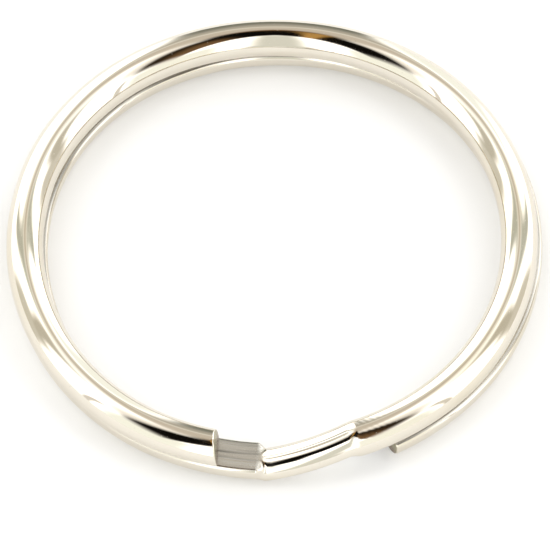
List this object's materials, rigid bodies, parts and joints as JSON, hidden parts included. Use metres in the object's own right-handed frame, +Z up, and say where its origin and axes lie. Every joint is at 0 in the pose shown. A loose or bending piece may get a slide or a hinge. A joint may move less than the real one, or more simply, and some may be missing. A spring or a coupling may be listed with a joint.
{
  "type": "split key ring",
  "caption": "Split ring of springy wire wound about two turns, with a stepped crossover; its coils spring apart so that keys thread on.",
  "frame": {"origin": "on the ring's axis, at the surface that the ring lies on", "axes": "+Z up along the ring's axis, from the lower coil to the upper coil; the crossover is at -Y, climbing towards +X"},
  "size_m": [0.03, 0.0297, 0.003],
  "materials": {
    "bright_nickel": "bright nickel plate on spring steel",
    "pressed_nickel": "nickel plate, pressed and slightly dulled at the bends"
  },
  "bodies": {
    "crossover": {"crossover_foot": "pressed_nickel", "crossover_ramp": "bright_nickel", "crossover_top": "pressed_nickel"},
    "upper_coil_1": {"upper_coil_1": "bright_nickel"},
    "upper_coil_2": {"upper_coil_2": "bright_nickel"},
    "upper_coil_3": {"upper_coil_3": "bright_nickel"},
    "upper_coil_4": {"upper_coil_4": "bright_nickel"},
    "upper_coil_5": {"upper_coil_5": "bright_nickel"},
    "upper_coil_6": {"upper_coil_6": "bright_nickel"},
    "upper_coil_7": {"upper_coil_7": "bright_nickel"},
    "upper_coil_8": {"upper_coil_8": "bright_nickel"},
    "upper_free_end": {"upper_free_end": "bright_nickel"},
    "lower_coil_1": {"lower_coil_1": "bright_nickel"},
    "lower_coil_2": {"lower_coil_2": "bright_nickel"},
    "lower_coil_3": {"lower_coil_3": "bright_nickel"},
    "lower_coil_4": {"lower_coil_4": "bright_nickel"},
    "lower_coil_5": {"lower_coil_5": "bright_nickel"},
    "lower_coil_6": {"lower_coil_6": "bright_nickel"},
    "lower_coil_7": {"lower_coil_7": "bright_nickel"},
    "lower_coil_8": {"lower_coil_8": "bright_nickel"},
    "lower_free_end": {"lower_free_end": "bright_nickel"}
  },
  "joints": [
    {"name": "upper_coil_twist_1", "type": "hinge", "parent": "crossover", "child": "upper_coil_1", "pos_m": [0.00461, -0.01301, 0.00219], "axis": [0.9397, 0.342, 0], "range_deg": [0, 1.2], "stiffness_Nm_per_rad": 6.9},
    {"name": "upper_coil_twist_2", "type": "hinge", "parent": "upper_coil_1", "child": "upper_coil_2", "pos_m": [0.0114, -0.00768, 0.00219], "axis": [0.5547, 0.8321, 0], "range_deg": [0, 1.2], "stiffness_Nm_per_rad": 6.9},
    {"name": "upper_coil_twist_3", "type": "hinge", "parent": "upper_coil_2", "child": "upper_coil_3", "pos_m": [0.01371, 0.00063, 0.00219], "axis": [-0.0457, 0.999, 0], "range_deg": [0, 1.2], "stiffness_Nm_per_rad": 6.9},
    {"name": "upper_coil_twist_4", "type": "hinge", "parent": "upper_coil_3", "child": "upper_coil_4", "pos_m": [0.01065, 0.0087, 0.00219], "axis": [-0.6284, 0.7779, 0], "range_deg": [0, 1.2], "stiffness_Nm_per_rad": 6.9},
    {"name": "upper_coil_twist_5", "type": "hinge", "parent": "upper_coil_4", "child": "upper_coil_5", "pos_m": [0.00341, 0.01338, 0.00219], "axis": [-0.967, 0.2547, 0], "range_deg": [0, 1.2], "stiffness_Nm_per_rad": 6.9},
    {"name": "upper_coil_twist_6", "type": "hinge", "parent": "upper_coil_5", "child": "upper_coil_6", "pos_m": [-0.0052, 0.01287, 0.00219], "axis": [-0.9301, -0.3674, 0], "range_deg": [0, 1.2], "stiffness_Nm_per_rad": 6.9},
    {"name": "upper_coil_twist_7", "type": "hinge", "parent": "upper_coil_6", "child": "upper_coil_7", "pos_m": [-0.01184, 0.00736, 0.00219], "axis": [-0.5319, -0.8468, 0], "range_deg": [0, 1.2], "stiffness_Nm_per_rad": 6.9},
    {"name": "upper_coil_twist_8", "type": "hinge", "parent": "upper_coil_7", "child": "upper_coil_8", "pos_m": [-0.01392, -0.00101, 0.00219], "axis": [0.0729, -0.9973, 0], "range_deg": [0, 1.2], "stiffness_Nm_per_rad": 6.9},
    {"name": "upper_coil_twist_9", "type": "hinge", "parent": "upper_coil_8", "child": "upper_free_end", "pos_m": [-0.01065, -0.00899, 0.00219], "axis": [0.6493, -0.7605, 0], "range_deg": [0, 1.2], "stiffness_Nm_per_rad": 6.9},
    {"name": "lower_coil_twist_1", "type": "hinge", "parent": "crossover", "child": "lower_coil_1", "pos_m": [-0.00104, -0.01379, 0.00083], "axis": [-0.9965, 0.0837, 0], "range_deg": [0, 1.2], "stiffness_Nm_per_rad": 6.9},
    {"name": "lower_coil_twist_2", "type": "hinge", "parent": "lower_coil_1", "child": "lower_coil_2", "pos_m": [-0.00901, -0.0104, 0.00083], "axis": [-0.7516, 0.6596, 0], "range_deg": [0, 1.2], "stiffness_Nm_per_rad": 6.9},
    {"name": "lower_coil_twist_3", "type": "hinge", "parent": "lower_coil_2", "child": "lower_coil_3", "pos_m": [-0.0134, -0.00294, 0.00083], "axis": [-0.2125, 0.9772, 0], "range_deg": [0, 1.2], "stiffness_Nm_per_rad": 6.9},
    {"name": "lower_coil_twist_4", "type": "hinge", "parent": "lower_coil_3", "child": "lower_coil_4", "pos_m": [-0.0125, 0.00567, 0.00083], "axis": [0.4099, 0.9121, 0], "range_deg": [0, 1.2], "stiffness_Nm_per_rad": 6.9},
    {"name": "lower_coil_twist_5", "type": "hinge", "parent": "lower_coil_4", "child": "lower_coil_5", "pos_m": [-0.00666, 0.01207, 0.00083], "axis": [0.8718, 0.4899, 0], "range_deg": [0, 1.2], "stiffness_Nm_per_rad": 6.9},
    {"name": "lower_coil_twist_6", "type": "hinge", "parent": "lower_coil_5", "child": "lower_coil_6", "pos_m": [0.00184, 0.01373, 0.00083], "axis": [0.9923, -0.1242, 0], "range_deg": [0, 1.2], "stiffness_Nm_per_rad": 6.9},
    {"name": "lower_coil_twist_7", "type": "hinge", "parent": "lower_coil_6", "child": "lower_coil_7", "pos_m": [0.00966, 0.01002, 0.00083], "axis": [0.7242, -0.6896, 0], "range_deg": [0, 1.2], "stiffness_Nm_per_rad": 6.9},
    {"name": "lower_coil_twist_8", "type": "hinge", "parent": "lower_coil_7", "child": "lower_coil_8", "pos_m": [0.01375, 0.00239, 0.00083], "axis": [0.1725, -0.985, 0], "range_deg": [0, 1.2], "stiffness_Nm_per_rad": 6.9},
    {"name": "lower_coil_twist_9", "type": "hinge", "parent": "lower_coil_8", "child": "lower_free_end", "pos_m": [0.0125, -0.00618, 0.00083], "axis": [-0.4467, -0.8947, 0], "range_deg": [0, 1.2], "stiffness_Nm_per_rad": 6.9}
  ]
}
